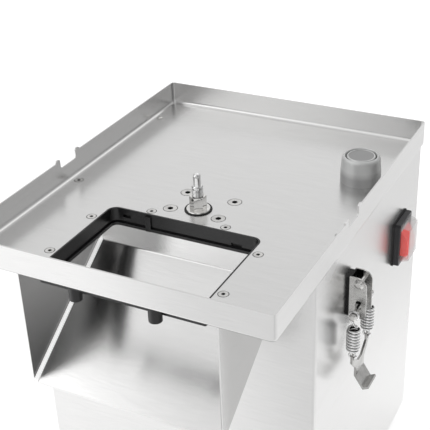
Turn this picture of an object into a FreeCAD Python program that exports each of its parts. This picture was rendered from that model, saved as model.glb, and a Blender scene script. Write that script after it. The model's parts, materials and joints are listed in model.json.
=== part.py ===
"""Bench-top electric meat cutter without its blade cassette and hopper.

Frame: millimetres, +Z up, +X to the operator's right, -Y to the front (chute side).
Origin: middle of the footprint, on the surface that the feet stand on.
"""
import FreeCAD, Part
import math
import os
import re
import Sketcher

doc = FreeCAD.newDocument("MeatCutter")

# ---------------------------------------------------------------- driving dimensions

DIMENSIONS = (
    ("gauge", 1.5, "sheet metal thickness"),
    ("gap", 0.1, "assembly clearance round fasteners"),
    ("tray_width", 280, "tray, outside, across"),
    ("tray_length", 356, "tray, outside, front to back"),
    ("tray_under", 330, "underside of the tray above the table"),
    ("rim_height", 24, "outside height of the tray rim"),
    ("rim_bend", 4, "outside radius of the tray corners"),
    ("notch_mid", -22, "middle of the hopper notches, Y"),
    ("notch_width", 24, "hopper notch, length along the rim"),
    ("notch_depth", 7, "hopper notch, depth"),
    ("ear_length", 7, "raised ear beside a notch, length"),
    ("ear_height", 2.6, "raised ear beside a notch, height"),
    ("body_width", 274, "body, outside, across"),
    ("body_front", -94, "front face of the body, Y"),
    ("body_rear", 177, "rear face of the body, Y"),
    ("body_foot", 10, "underside of the body above the table"),
    ("body_bend", 3, "outside radius of the body corners"),
    ("flange", 14, "width of the body's inward flanges"),
    ("feed_width", 144, "feed opening across"),
    ("feed_length", 107, "feed opening front to back"),
    ("feed_mid", -107, "middle of the feed opening, Y"),
    ("feed_depth", 15, "depth of the feed frame below the tray"),
    ("feed_front_depth", 9.4, "depth of the feed frame's front wall below the tray"),
    ("feed_screw_wide", 79.5, "feed frame side screws, X"),
    ("feed_screw_near", 36, "feed frame end screws, X"),
    ("feed_screw_deep", 59.8, "feed frame end screws from its middle"),
    ("feed_screw_step", 31, "feed frame side screws from its middle"),
    ("chute_width", 182, "chute, outside, across"),
    ("chute_fold", 4, "inner radius between the chute's slope and its cheeks"),
    ("lip_front", -169, "front edge of the chute lip, Y"),
    ("lip_height", 216, "chute lip above the table"),
    ("bend_front", -53, "inside of the chute's back wall, Y"),
    ("bend_height", 294, "foot of the chute's back wall, Z"),
    ("stud_mid", -28, "hold-down stud, Y"),
    ("bearing_screw_x", 23.5, "drive housing screws, X"),
    ("bearing_screw_mid", -20, "middle of the drive housing screws, Y"),
    ("bearing_screw_y", 16, "drive housing screws from their middle"),
    ("button_x", 109.5, "interlock button, X"),
    ("button_y", 80, "interlock button, Y"),
    ("button_radius", 18.3, "interlock button, foot radius"),
    ("button_top", 356, "interlock button, top"),
    ("switch_mid", 118, "power switch, middle, Y"),
    ("switch_height", 256.8, "power switch, middle, Z"),
    ("switch_front", 6.8, "front of the switch housing from the body side"),
    ("latch_mid", -18, "latch, middle, Y"),
    ("latch_bar_height", 266, "latch cross bar, Z"),
    ("latch_bar_out", 11, "latch cross bar from the body side"),
    ("spring_offset", 18, "latch springs from the latch middle"),
    ("shaft_x", -30, "drive line, X"),
    ("shaft_radius", 7.5, "drive shafts, radius"),
    ("output_height", 277.5, "output shaft, Z"),
    ("counter_height", 219.5, "countershaft, Z"),
    ("motor_height", 85, "motor shaft, Z"),
    ("gear_module", 2, "gear module"),
    ("output_teeth", 34, "output gear teeth"),
    ("pinion_teeth", 24, "pinion teeth"),
    ("gear_width", 6, "face width of the gears"),
    ("small_pulley_radius", 22, "belt line radius on the motor pulley"),
    ("large_pulley_radius", 70, "belt line radius on the countershaft pulley"),
    ("belt_mid", 22, "middle of the belt, Y"),
    ("belt_width", 12, "belt width"),
    ("belt_thick", 4, "belt thickness"),
    ("motor_front", 50, "front of the motor housing, Y"),
    ("motor_length", 100, "motor housing length"),
    ("motor_radius", 55, "motor housing radius"),
    ("foot_x", 105, "feet, X"),
    ("foot_front", -62, "front feet, Y"),
    ("foot_rear", 145, "rear feet, Y"),
)
sheet = doc.addObject("Spreadsheet::Sheet", "Dims")
for row, (alias, size, note) in enumerate(DIMENSIONS, 1):
    sheet.set(f"A{row}", note)
    sheet.set(f"B{row}", str(size))
    sheet.setAlias(f"B{row}", alias)
doc.recompute()
ALIASES = {row[0] for row in DIMENSIONS}

# ---------------------------------------------------------------- modelling helpers

TURN = {
    "z": FreeCAD.Rotation(),
    "z30": FreeCAD.Rotation(FreeCAD.Vector(0, 0, 1), 30),
    "-z": FreeCAD.Rotation(FreeCAD.Vector(1, 0, 0), 180),
    "x": FreeCAD.Rotation(FreeCAD.Vector(0, 1, 0), 90),
    "-x": FreeCAD.Rotation(FreeCAD.Vector(0, 1, 0), -90),
    "y": FreeCAD.Rotation(FreeCAD.Vector(1, 0, 0), -90),
    "-y": FreeCAD.Rotation(FreeCAD.Vector(1, 0, 0), 90),
    "side": FreeCAD.Rotation(FreeCAD.Vector(1, 1, 1), 120),
}
HERE = ("0", "0", "0")


def formula(text):
    """The text with every alias written as a reference to the sheet."""
    return re.sub(r"[a-z]\w*", lambda m: "Dims." + m[0] if m[0] in ALIASES else m[0], str(text))


def number(text):
    return float(sheet.evalExpression(formula(text)))


def bind(item, **sizes):
    for name, text in sizes.items():
        item.setExpression(name, formula(text))
    return item


def place(item, at=HERE, along="z"):
    item.Placement = FreeCAD.Placement(FreeCAD.Vector(), TURN[along])
    for axis, text in zip("xyz", at):
        item.setExpression(f"Placement.Base.{axis}", formula(text))
    return item


def box(name, x, y, z):
    """A block from its lower and upper limit on each axis."""
    block = doc.addObject("Part::Box", name)
    bind(block, Length=f"({x[1]}) - ({x[0]})", Width=f"({y[1]}) - ({y[0]})", Height=f"({z[1]}) - ({z[0]})")
    return place(block, (x[0], y[0], z[0]))


def rod(name, radius, length, at, along="z"):
    return place(bind(doc.addObject("Part::Cylinder", name), Radius=radius, Height=length), at, along)


def fuse(name, *parts):
    item = doc.addObject("Part::MultiFuse", name)
    item.Shapes = list(parts)
    return item


def cut(name, base, *tools):
    item = doc.addObject("Part::Cut", name)
    item.Base = base
    item.Tool = tools[0] if len(tools) == 1 else fuse(name + "_tools", *tools)
    return item


def edges_of(item, pick):
    """Numbers of the edges that pick accepts, given each edge's middle point and direction."""
    doc.recompute()
    chosen = []
    for index, edge in enumerate(item.Shape.Edges, 1):
        first, last = edge.ParameterRange
        middle = edge.valueAt((first + last) / 2)
        chord = edge.valueAt(last) - edge.valueAt(first)
        along = chord.normalize() if chord.Length > 1e-6 else FreeCAD.Vector()
        if pick(middle, along):
            chosen.append(index)
    if not chosen:
        raise RuntimeError(f"{item.Name}: no edge chosen")
    return chosen


def rounded(name, base, radius, pick):
    item = doc.addObject("Part::Fillet", name)
    item.Base = base
    item.Edges = [(index, number(radius), number(radius)) for index in edges_of(base, pick)]
    return item


def mirrored(name, source):
    """The same piece on the other side of the machine."""
    item = doc.addObject("Part::Mirroring", name)
    item.Source = source
    item.Normal = FreeCAD.Vector(1, 0, 0)
    return item


def group(name, source, spots, along="z"):
    """Identical pieces, one at each spot, kept together as one node of separate solids."""
    links = []
    for count, at in enumerate(spots, 1):
        link = doc.addObject("App::Link", f"{name}_{count}")
        link.LinkedObject = source
        links.append(place(link, at, along))
    item = doc.addObject("Part::Compound", name)
    item.Links = links
    return item


def made(name, shape):
    """A piece whose shape comes from a formula."""
    item = doc.addObject("Part::Feature", name)
    item.Shape = shape
    return item


def new_body(name, at=HERE, along="z"):
    return place(doc.addObject("PartDesign::Body", name), at, along)


def origin_item(body, role):
    return next(item for item in body.Origin.OriginFeatures if item.Role == role)


def sketch(body, plane="XY_Plane", outlines=(), circles=(), rounds=(), lift="0"):
    """A sketch on one of the body's own planes, every corner and radius tied to the sheet."""
    drawing = body.newObject("Sketcher::SketchObject", body.Name + "_sketch")
    drawing.AttachmentSupport = [(origin_item(body, plane), "")]
    drawing.MapMode = "FlatFace"
    drawing.setExpression("AttachmentOffset.Base.z", formula(lift))
    for corners in outlines:
        first, total = drawing.GeometryCount, len(corners)
        points = [FreeCAD.Vector(number(x), number(y), 0) for x, y in corners]
        for index in range(total):
            drawing.addGeometry(Part.LineSegment(points[index], points[(index + 1) % total]))
        for index in range(total):
            drawing.addConstraint(
                Sketcher.Constraint("Coincident", first + index, 2, first + (index + 1) % total, 1))
        for index, corner in enumerate(corners):
            tie(drawing, first + index, 1, corner)
    for x, y, radius in circles:
        middle = FreeCAD.Vector(number(x), number(y), 0)
        ring = drawing.addGeometry(Part.Circle(middle, FreeCAD.Vector(0, 0, 1), number(radius)))
        tie(drawing, ring, 3, (x, y))
        tie_radius(drawing, ring, radius)
    for x, y, radius in rounds:
        rounded_rectangle(drawing, x, y, radius)
    return drawing


def tie(drawing, item, point, at):
    """Holds a point of the sketch at the place that two texts give."""
    for kind, text in zip(("DistanceX", "DistanceY"), at):
        index = drawing.addConstraint(Sketcher.Constraint(kind, -1, 1, item, point, number(text)))
        drawing.setExpression(f"Constraints[{index}]", formula(text))


def tie_radius(drawing, item, radius):
    index = drawing.addConstraint(Sketcher.Constraint("Radius", item, number(radius)))
    drawing.setExpression(f"Constraints[{index}]", formula(radius))


def rounded_rectangle(drawing, x, y, radius):
    """Four sides and four corner arcs, anticlockwise from the lower side."""
    left, right, low, high, radius = [f"({text})" for text in (*x, *y, radius)]
    ends = (((f"{left} + {radius}", low), (f"{right} - {radius}", low)),
            ((right, f"{low} + {radius}"), (right, f"{high} - {radius}")),
            ((f"{right} - {radius}", high), (f"{left} + {radius}", high)),
            ((left, f"{high} - {radius}"), (left, f"{low} + {radius}")))
    middles = ((f"{right} - {radius}", f"{low} + {radius}"), (f"{right} - {radius}", f"{high} - {radius}"),
               (f"{left} + {radius}", f"{high} - {radius}"), (f"{left} + {radius}", f"{low} + {radius}"))
    sides, arcs = [], []
    for (start, end), middle, quarter in zip(ends, middles, range(4)):
        a, b, c = [FreeCAD.Vector(number(p[0]), number(p[1]), 0) for p in (start, end, middle)]
        sides.append(drawing.addGeometry(Part.LineSegment(a, b)))
        circle = Part.Circle(c, FreeCAD.Vector(0, 0, 1), number(radius))
        first = (quarter - 1) * math.pi / 2
        arcs.append(drawing.addGeometry(Part.ArcOfCircle(circle, first, first + math.pi / 2)))
    for index in range(4):
        tie(drawing, sides[index], 1, ends[index][0])
        tie(drawing, sides[index], 2, ends[index][1])
        drawing.addConstraint(Sketcher.Constraint("Coincident", arcs[index], 1, sides[index], 2))
        drawing.addConstraint(Sketcher.Constraint("Coincident", arcs[index], 2, sides[(index + 1) % 4], 1))
        tie_radius(drawing, arcs[index], radius)


def pad(body, drawing, length):
    feature = body.newObject("PartDesign::Pad", body.Name + "_pad")
    feature.Profile = drawing
    return bind(feature, Length=length)


def pocket(body, drawing, length=None, flip=False):
    """A pocket, through everything when no length is given; it must take something away."""
    doc.recompute()
    before = body.Shape.Volume
    feature = body.newObject("PartDesign::Pocket", body.Name + "_pocket")
    feature.Profile = drawing
    feature.Reversed = flip
    if length is None:
        feature.Type = "ThroughAll"
        feature.Midplane = True
    else:
        bind(feature, Length=length)
    doc.recompute()
    if body.Shape.Volume > before - 1e-3:
        raise RuntimeError(f"{feature.Name} cuts nothing")
    return feature


def turned(name, profile, at=HERE, along="z"):
    """A turned piece: the profile is (radius, height) points, spun about its own axis."""
    body = new_body(name, at, along)
    drawing = sketch(body, "XZ_Plane", [profile])
    feature = body.newObject("PartDesign::Revolution", name + "_turn")
    feature.Profile = drawing
    feature.ReferenceAxis = (drawing, ["V_Axis"])
    feature.Angle = 360
    return body


def bevel(body, kind, size, pick):
    """A PartDesign Fillet or Chamfer on the edges that pick accepts."""
    edges = edges_of(body, pick)
    base = body.Tip
    feature = body.newObject("PartDesign::" + kind, f"{body.Name}_{kind.lower()}")
    feature.Base = (base, [f"Edge{index}" for index in edges])
    return bind(feature, **{"Radius" if kind == "Fillet" else "Size": size})


def polar(body, original, count):
    """A ring of copies about the body's Z axis."""
    doc.recompute()
    feature = body.newObject("PartDesign::PolarPattern", body.Name + "_ring")
    feature.Originals = [original]
    feature.Axis = (origin_item(body, "Z_Axis"), [""])
    feature.Angle = 360
    feature.Occurrences = count
    body.Tip = feature
    return feature


def row(body, original, axis, length, count):
    """A row of copies along one of the body's axes."""
    doc.recompute()
    feature = body.newObject("PartDesign::LinearPattern", body.Name + "_row")
    feature.Originals = [original]
    feature.Direction = (origin_item(body, axis), [""])
    feature.Occurrences = count
    body.Tip = feature
    return bind(feature, Length=length)


def rectangle(x, y):
    return [(x[0], y[0]), (x[1], y[0]), (x[1], y[1]), (x[0], y[1])]


def centred(width, length, mid_y="0"):
    half_x, half_y = f"({width}) / 2", f"({length}) / 2"
    return rectangle((f"-{half_x}", half_x), (f"{mid_y} - {half_y}", f"{mid_y} + {half_y}"))


def centred_round(width, length, radius, mid_y="0"):
    half_x, half_y = f"({width}) / 2", f"({length}) / 2"
    return (f"-{half_x}", half_x), (f"{mid_y} - {half_y}", f"{mid_y} + {half_y}"), radius


def upright(middle, along):
    return abs(along.z) > 0.99


def near(a, b, within=0.05):
    return abs(a - b) < within


# ---------------------------------------------------------------- fastener prototypes

def socket_screw(name, head_radius, shank_radius, length, socket_radius):
    """Countersunk socket screw, top of the head at zero, shank downwards."""
    blank = turned(name + "_blank", [
        ("0", f"-{length}"), (f"{shank_radius} - 0.5", f"-{length}"), (f"{shank_radius}", f"0.5 - {length}"),
        (f"{shank_radius}", f"{shank_radius} - {head_radius} - 0.3"), (f"{head_radius}", "-0.3"),
        (f"{head_radius}", "0"), ("0", "0")])
    socket = doc.addObject("Part::Prism", name + "_socket")
    socket.Polygon = 6
    bind(socket, Circumradius=socket_radius, Height="3")
    place(socket, ("0", "0", f"-{shank_radius}"))
    return cut(name, blank, socket)


def pan_screw(name, shank_radius, length):
    """Pan head screw with a cross recess, underside of the head at zero, shank downwards."""
    head_radius, head_height = 2 * shank_radius, 1.2 * shank_radius
    blank = turned(name + "_blank", [
        ("0", f"-{length}"), (f"{shank_radius}", f"-{length}"), (f"{shank_radius}", "0"),
        (f"{head_radius}", "0"), (f"{head_radius}", f"{head_height / 2}"),
        (f"{head_radius * 0.8}", f"{head_height}"), ("0", f"{head_height}")])
    arm, width, floor = head_radius * 0.55, head_radius * 0.11, head_height * 0.4
    slots = [box(f"{name}_slot_{axis}", *spans, (floor, head_height + 1)) for axis, spans in (
        ("x", ((-arm, arm), (-width, width))), ("y", ((-width, width), (-arm, arm))))]
    return cut(name, blank, *slots)


def dome_rivet(name, radius, grip):
    """Rivet with a domed head above zero and its grip below."""
    return turned(name, [
        ("0", f"-{grip}"), (f"{radius}", f"-{grip}"), (f"{radius}", "0"), (f"{radius * 1.8}", "0"),
        (f"{radius * 1.6}", f"{radius * 0.5}"), (f"{radius * 0.9}", f"{radius * 0.85}"),
        ("0", f"{radius}")])


screw_m4_flat = socket_screw("screw_m4_flat", "4", "2", "12", "1.7")
screw_m6_flat = socket_screw("screw_m6_flat", "6", "3", "16", "2.7")
screw_m4_pan = pan_screw("screw_m4_pan", 2, 9)
screw_m5_pan = pan_screw("screw_m5_pan", 2.5, 12)
rivet_4 = dome_rivet("rivet_4", 2, 3.2)

# ---------------------------------------------------------------- top tray

TRAY_FLOOR = "tray_under + gauge"
FEED_SCREWS = (
    [(f"{side} * feed_screw_near", f"feed_mid + {end} * feed_screw_deep")
     for side in (-1, 1) for end in (-1, 1)]
    + [(f"{side} * feed_screw_wide", f"feed_mid + {end} * feed_screw_step")
       for side in (-1, 1) for end in (-1, 1)])
BEARING_SCREWS = [
    (f"{side} * bearing_screw_x", f"bearing_screw_mid + {end} * bearing_screw_y")
    for side in (-1, 1) for end in (-1, 1)]
TRAY_SCREWS = [(f"{side} * 129", "-22") for side in (-1, 1)]
TRAY_RIVETS = [(f"{side} * 130.5", "132") for side in (-1, 1)]


def make_tray():
    tray = new_body("top_tray")
    outside = centred_round("tray_width", "tray_length", "rim_bend")
    pad(tray, sketch(tray, rounds=[outside], lift="tray_under"), "rim_height")
    for side in (-1, 1):
        for end in (-1, 1):
            low = f"notch_mid + {end} * (notch_width / 2 + ear_length / 2) - ear_length / 2"
            outer = f"{side} * tray_width / 2"
            inner = f"{side} * (tray_width / 2 - gauge)"
            spans = (outer, inner) if side < 0 else (inner, outer)
            ear = sketch(tray, outlines=[rectangle(spans, (low, low + " + ear_length"))],
                         lift="tray_under + rim_height - 2")
            pad(tray, ear, "ear_height + 2")
    under = number("tray_under")
    bevel(tray, "Fillet", "2.5", lambda m, d: near(m.z, under))
    inside = centred_round("tray_width - 2 * gauge", "tray_length - 2 * gauge", "rim_bend - gauge")
    pocket(tray, sketch(tray, rounds=[inside], lift="tray_under + rim_height + ear_height"),
           "rim_height + ear_height - gauge")
    floor = number(TRAY_FLOOR)
    inner_x, inner_y = number("tray_width / 2 - gauge"), number("tray_length / 2 - gauge")
    bevel(tray, "Fillet", "3.4", lambda m, d: (
        near(m.z, floor) and (abs(m.x) > inner_x - 4 or abs(m.y) > inner_y - 4)))
    notch = rectangle(("notch_mid - notch_width / 2", "notch_mid + notch_width / 2"),
                      ("tray_under + rim_height - notch_depth", "tray_under + rim_height + 5"))
    pocket(tray, sketch(tray, "YZ_Plane", [notch]))
    rim_top, notch_floor = number("tray_under + rim_height"), number("tray_under + rim_height - notch_depth")
    bevel(tray, "Fillet", "2.4", lambda m, d: (
        abs(d.x) > 0.99 and abs(m.x) > inner_x - 0.1 and (m.z > rim_top + 1 or near(m.z, notch_floor))))
    collar = centred_round("feed_width + 3", "feed_length + 3", "8.5", "feed_mid")
    pocket(tray, sketch(tray, rounds=[collar]))
    holes = [("0", "stud_mid", "8"), ("button_x", "button_y", "9.3")]
    holes += [(x, y, "2.1") for x, y in TRAY_RIVETS]
    pocket(tray, sketch(tray, circles=holes))
    for spots, head, shank in ((FEED_SCREWS + TRAY_SCREWS, 4, 2), (BEARING_SCREWS, 6, 3)):
        doc.recompute()
        hole = tray.newObject("PartDesign::Hole", "tray_countersinks")
        hole.Profile = sketch(tray, circles=[(x, y, f"{shank} + gap") for x, y in spots], lift=TRAY_FLOOR)
        tray.Tip = hole
        hole.DepthType = "Dimension"
        hole.Depth = 6
        hole.ThreadType = "None"
        hole.HoleCutType = "Countersink"
        hole.HoleCutCustomValues = True
        bind(hole, Diameter=f"2 * ({shank} + gap)", HoleCutDiameter=f"2 * ({head} + gap) + 1")
        hole.HoleCutCountersinkAngle = 90
    return tray


top_tray = make_tray()
SCREW_TOP = f"({TRAY_FLOOR})"
feed_frame_screws = group("feed_frame_screws", screw_m4_flat, [(x, y, SCREW_TOP) for x, y in FEED_SCREWS])
drive_housing_screws = group("drive_housing_screws", screw_m6_flat,
                             [(x, y, SCREW_TOP) for x, y in BEARING_SCREWS])
tray_screws = group("tray_screws", screw_m4_flat, [(x, y, SCREW_TOP) for x, y in TRAY_SCREWS])
tray_rivets = group("tray_rivets", rivet_4, [(x, y, SCREW_TOP) for x, y in TRAY_RIVETS])

# ---------------------------------------------------------------- feed frame under the tray

def make_feed_frame():
    """Collar through the tray opening, flange and bosses for the screws, walls with a groove and a ledge."""
    frame = new_body("feed_frame_moulding")
    bottom = "tray_under - feed_depth"
    flange = centred_round("2 * (feed_screw_wide + 7)", "2 * (feed_screw_step + 8)", "5", "feed_mid")
    pad(frame, sketch(frame, rounds=[flange], lift="tray_under - 4"), "4")
    ends = centred_round("2 * (feed_screw_near + 7)", "2 * (feed_screw_deep + 6)", "5", "feed_mid")
    pad(frame, sketch(frame, rounds=[ends], lift="tray_under - 4"), "4")
    walls = centred_round("feed_width + 9", "feed_length + 9", "10", "feed_mid")
    pad(frame, sketch(frame, rounds=[walls], lift=bottom), "feed_depth")
    front = [rectangle(("-feed_width / 2 - 10", "feed_width / 2 + 10"),
                       ("feed_mid - feed_length / 2 - 10", "feed_mid - feed_length / 2"))]
    pocket(frame, sketch(frame, outlines=front, lift="tray_under - feed_front_depth"), "feed_depth")
    collar = centred_round("feed_width + 2.6", "feed_length + 2.6", "8.3", "feed_mid")
    pad(frame, sketch(frame, rounds=[collar], lift="tray_under"), "gauge")
    boss_height = {1: "feed_depth", -1: "feed_depth + 1.5"}
    for (x, y), end in zip(FEED_SCREWS, (-1, 1, -1, 1)):
        boss = sketch(frame, circles=[(x, y, "5.5")], lift=f"tray_under - ({boss_height[end]})")
        pad(frame, boss, boss_height[end])
    opening = centred_round("feed_width - 3", "feed_length - 3", "5.5", "feed_mid")
    pocket(frame, sketch(frame, rounds=[opening]))
    upper = centred_round("feed_width", "feed_length", "7", "feed_mid")
    pocket(frame, sketch(frame, rounds=[upper], lift="tray_under + gauge"), "gauge + feed_depth - 4.5")
    groove = centred_round("feed_width + 2", "feed_length + 2", "8", "feed_mid")
    pocket(frame, sketch(frame, rounds=[groove], lift="tray_under - feed_depth + 4.5"), "1.8")
    rear = "feed_mid + feed_length / 2"
    recess = [rectangle(("-62", "-54"), (f"{rear} - 1", f"{rear} + 2.5"))]
    pocket(frame, sketch(frame, outlines=recess, lift="tray_under - 4"), "3")
    nick = [rectangle(("44", "54"), (f"{rear} - 3", f"{rear} + 2"))]
    pocket(frame, sketch(frame, outlines=nick, lift="tray_under - feed_depth + 7"), "4")
    pilot = sketch(frame, circles=[(x, y, "2 + gap") for x, y in FEED_SCREWS], lift="tray_under")
    pocket(frame, pilot, "11")
    doc.recompute()
    mouth = frame.newObject("PartDesign::Hole", "feed_frame_countersinks")
    mouth.Profile = sketch(frame, circles=[(x, y, "2.5") for x, y in FEED_SCREWS], lift="tray_under")
    frame.Tip = mouth
    mouth.DepthType = "Dimension"
    mouth.Depth = 0.9
    mouth.ThreadType = "None"
    mouth.Diameter = 6.2
    mouth.DrillPoint = "Flat"
    doc.recompute()
    rib = box("feed_frame_rib", ("-feed_screw_near - 3", "-feed_screw_near + 3"),
              (f"{rear} - 2", f"{rear} + 1"),
              ("tray_under - feed_depth", "tray_under + gauge - 2"))
    soft_rib = rounded("feed_frame_rib_round", rib, "1.4", lambda m, d: upright(m, d) and m.y < number(rear))
    return fuse("feed_frame", frame, soft_rib)


feed_frame = make_feed_frame()

# ---------------------------------------------------------------- hold-down stud

STUD_SHOULDER = 23
STUD_TIP = 35


def make_stud():
    """Stepped stud: rolled thread ridges on the lower part, plain guide with a round tip above."""
    root, crest, guide, pitch = 4.65, 4.95, 3.4, 1.25
    profile = [(0, -18), (crest - 0.6, -18), (crest, -17.4), (crest, 13)]
    for turn in range(int((STUD_SHOULDER - 1.5 - 13) / pitch)):
        foot = 13 + turn * pitch
        profile += [(root, foot + 0.35 * pitch), (crest, foot + pitch)]
    profile += [(crest, STUD_SHOULDER - 1), (crest - 1, STUD_SHOULDER), (guide, STUD_SHOULDER)]
    profile += [(guide, STUD_TIP - guide)]
    for step in range(1, 7):
        angle = math.radians(15 * step)
        profile.append((guide * math.cos(angle), STUD_TIP - guide + guide * math.sin(angle)))
    profile[-1] = (0, STUD_TIP)
    return turned("hold_down_stud", [(f"{x:.3f}", f"{z:.3f}") for x, z in profile],
                  ("0", "stud_mid", SCREW_TOP))


hold_down_stud = make_stud()


def hexagon(name, across_corners, height, bore, at):
    """A hexagonal sleeve with both ends bevelled by a cone."""
    prism = doc.addObject("Part::Prism", name + "_blank")
    prism.Polygon = 6
    place(bind(prism, Circumradius=f"({across_corners}) / 2", Height=height), at, "z30")
    flat = f"({across_corners}) / 2 * 0.93"
    drum = turned(name + "_drum", [
        ("0", "0"), (flat, "0"), (f"{flat} + 1.8", "0.9"), (f"{flat} + 1.8", f"{height} - 0.9"),
        (flat, height), ("0", height)], at)
    common = doc.addObject("Part::MultiCommon", name + "_bevelled")
    common.Shapes = [prism, drum]
    hole = rod(name + "_bore", bore, f"{height} + 2", (at[0], at[1], f"{at[2]} - 1"))
    return cut(name, common, hole)


stud_spacer = hexagon("stud_spacer", "15", "12", "5", ("0", "stud_mid", f"{SCREW_TOP} + 1.6"))
stud_washer = turned("stud_washer", [
    ("5.2", "0"), ("10.6", "0"), ("11", "0.5"), ("10.4", "1.55"), ("5.2", "1.55")],
    ("0", "stud_mid", SCREW_TOP))
stud_seal = turned("stud_seal", [
    ("11.15", "0"), ("12.1", "0"), ("12.3", "0.5"), ("12", "1.1"), ("11.3", "1.1"), ("11.1", "0.5")],
    ("0", "stud_mid", SCREW_TOP))

# ---------------------------------------------------------------- interlock button

BUTTON = ("button_x", "button_y", SCREW_TOP)
BUTTON_HEIGHT = f"(button_top - {SCREW_TOP})"
interlock_housing = turned("interlock_housing", [
    ("4.6", "-3"), ("9", "-3"), ("9", "0"), ("button_radius", "0"), ("button_radius", "10"),
    ("button_radius - 0.9", f"{BUTTON_HEIGHT} - 3.2"), ("button_radius - 1.4", f"{BUTTON_HEIGHT} - 1.6"),
    ("button_radius - 2.4", f"{BUTTON_HEIGHT} - 0.5"), ("button_radius - 3.2", BUTTON_HEIGHT),
    ("button_radius - 3.5", BUTTON_HEIGHT), ("button_radius - 4.1", f"{BUTTON_HEIGHT} - 0.7"),
    ("button_radius - 4.1", f"{BUTTON_HEIGHT} - 11"), ("7.5", f"{BUTTON_HEIGHT} - 11"), ("7.5", "1"),
    ("4.6", "1")], BUTTON)
interlock_plunger = turned("interlock_plunger", [
    ("0", "-6.5"), ("4", "-6.5"), ("4", f"{BUTTON_HEIGHT} - 7"), ("12.9", f"{BUTTON_HEIGHT} - 7"),
    ("12.9", f"{BUTTON_HEIGHT} - 1"), ("12.4", f"{BUTTON_HEIGHT} - 0.4"), ("11.6", f"{BUTTON_HEIGHT} - 0.3"),
    ("11.2", f"{BUTTON_HEIGHT} - 0.7"), ("0", f"{BUTTON_HEIGHT} - 0.7")], BUTTON)


def coil(name, radius, wire, pitch, turns, at):
    """Round wire wound into a helix with one flat end turn of its own at each end."""
    helix = doc.addObject("Part::Helix", name + "_line")
    bind(helix, Pitch=pitch, Height=f"({pitch}) * ({turns})", Radius=radius)
    ring = doc.addObject("Part::Circle", name + "_section")
    bind(ring, Radius=wire)
    ring.Placement = FreeCAD.Placement(FreeCAD.Vector(number(radius), 0, 0), TURN["-y"])
    ring.setExpression("Placement.Base.x", formula(radius))
    doc.recompute()
    sweep = doc.addObject("Part::Sweep", name)
    sweep.Sections = [ring]
    sweep.Spine = (helix, [f"Edge{index + 1}" for index in range(len(helix.Shape.Edges))])
    sweep.Solid = True
    sweep.Frenet = True
    return place(sweep, at)


interlock_spring = coil("interlock_spring", "5.6", "0.6", "2.5", "6",
                        ("button_x", "button_y", f"{SCREW_TOP} + 1.65"))


def make_micro_switch():
    """Switch below the plunger, hung from the tray by its own lug."""
    low = "tray_under - 26"
    case = box("micro_switch_case", ("button_x - 14", "button_x + 11"), ("button_y - 5", "button_y + 5"),
               (low, f"{low} + 15"))
    key = rod("micro_switch_key", "1.5", "2.5", ("button_x", "button_y", f"{low} + 14.5"))
    lug = box("micro_switch_lug", ("button_x - 18", "button_x - 14"), ("button_y - 5", "button_y + 5"),
              (low, "tray_under"))
    foot = box("micro_switch_foot", ("button_x - 28", "button_x - 14"), ("button_y - 5", "button_y + 5"),
               ("tray_under - 3", "tray_under"))
    tabs = [box(f"micro_switch_tab_{step}", (f"button_x + {step * 8}", f"button_x + {step * 8} + 0.8"),
                ("button_y - 2.5", "button_y + 2.5"), (f"{low} - 6", f"{low} + 1")) for step in (-1, 0, 1)]
    return fuse("interlock_micro_switch", case, key, lug, foot, *tabs)


interlock_micro_switch = make_micro_switch()

# ---------------------------------------------------------------- discharge chute

SLOPE = "((bend_height - lip_height) / (bend_front - lip_front))"
SLANT = f"(gauge * sqrt(1 + {SLOPE} ^ 2))"


def make_chute():
    """Folded sheet: back wall, slope and two cheeks that rise to the tray, open at the front and top."""
    chute = new_body("discharge_chute")
    outside = [("lip_front", "tray_under"), ("lip_front", f"lip_height - {SLANT}"),
               ("bend_front + gauge", f"bend_height - {SLANT} + gauge * {SLOPE}"),
               ("bend_front + gauge", "tray_under")]
    block = pad(chute, sketch(chute, "YZ_Plane", [outside]), "chute_width")
    block.Midplane = True
    inside = [("lip_front - 20", "tray_under + 10"), ("lip_front - 20", f"lip_height - 20 * {SLOPE}"),
              ("bend_front", "bend_height"), ("bend_front", "tray_under + 10")]
    hollow = pocket(chute, sketch(chute, "YZ_Plane", [inside]), "chute_width - 2 * gauge")
    hollow.Midplane = True
    doc.recompute()
    slot = rectangle(("-chute_width / 2 + gauge", "chute_width / 2 - gauge"),
                     ("bend_front - 5", "bend_front + 5"))
    pocket(chute, sketch(chute, outlines=[slot], lift="tray_under"), "feed_depth + 0.2")
    inner_x = number("chute_width / 2 - gauge")
    bevel(chute, "Fillet", "2.5", lambda m, d: (
        abs(d.x) > 0.99 and near(m.y, number("bend_front")) and near(m.z, number("bend_height"))))
    bevel(chute, "Fillet", "chute_fold", lambda m, d: (
        near(abs(m.x), inner_x) and d.y * d.z > 0.3 and m.z < number("bend_height")))
    return chute


discharge_chute = make_chute()

# ---------------------------------------------------------------- body

REAR_FACE = "body_rear - gauge"
BODY_X = "body_width / 2"
LATCH_SPOTS = [("latch_mid", f"latch_bar_height + {rise}") for rise in (-3, 17)]
COVER_SCREWS = [(f"{side} * ({BODY_X} - 7)", z) for side in (-1, 1) for z in ("35", "170", "305")]
BASE_SCREWS = [(f"{side} * ({BODY_X} - 8)", y) for side in (-1, 1) for y in ("-75", "40", "155")]


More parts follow.
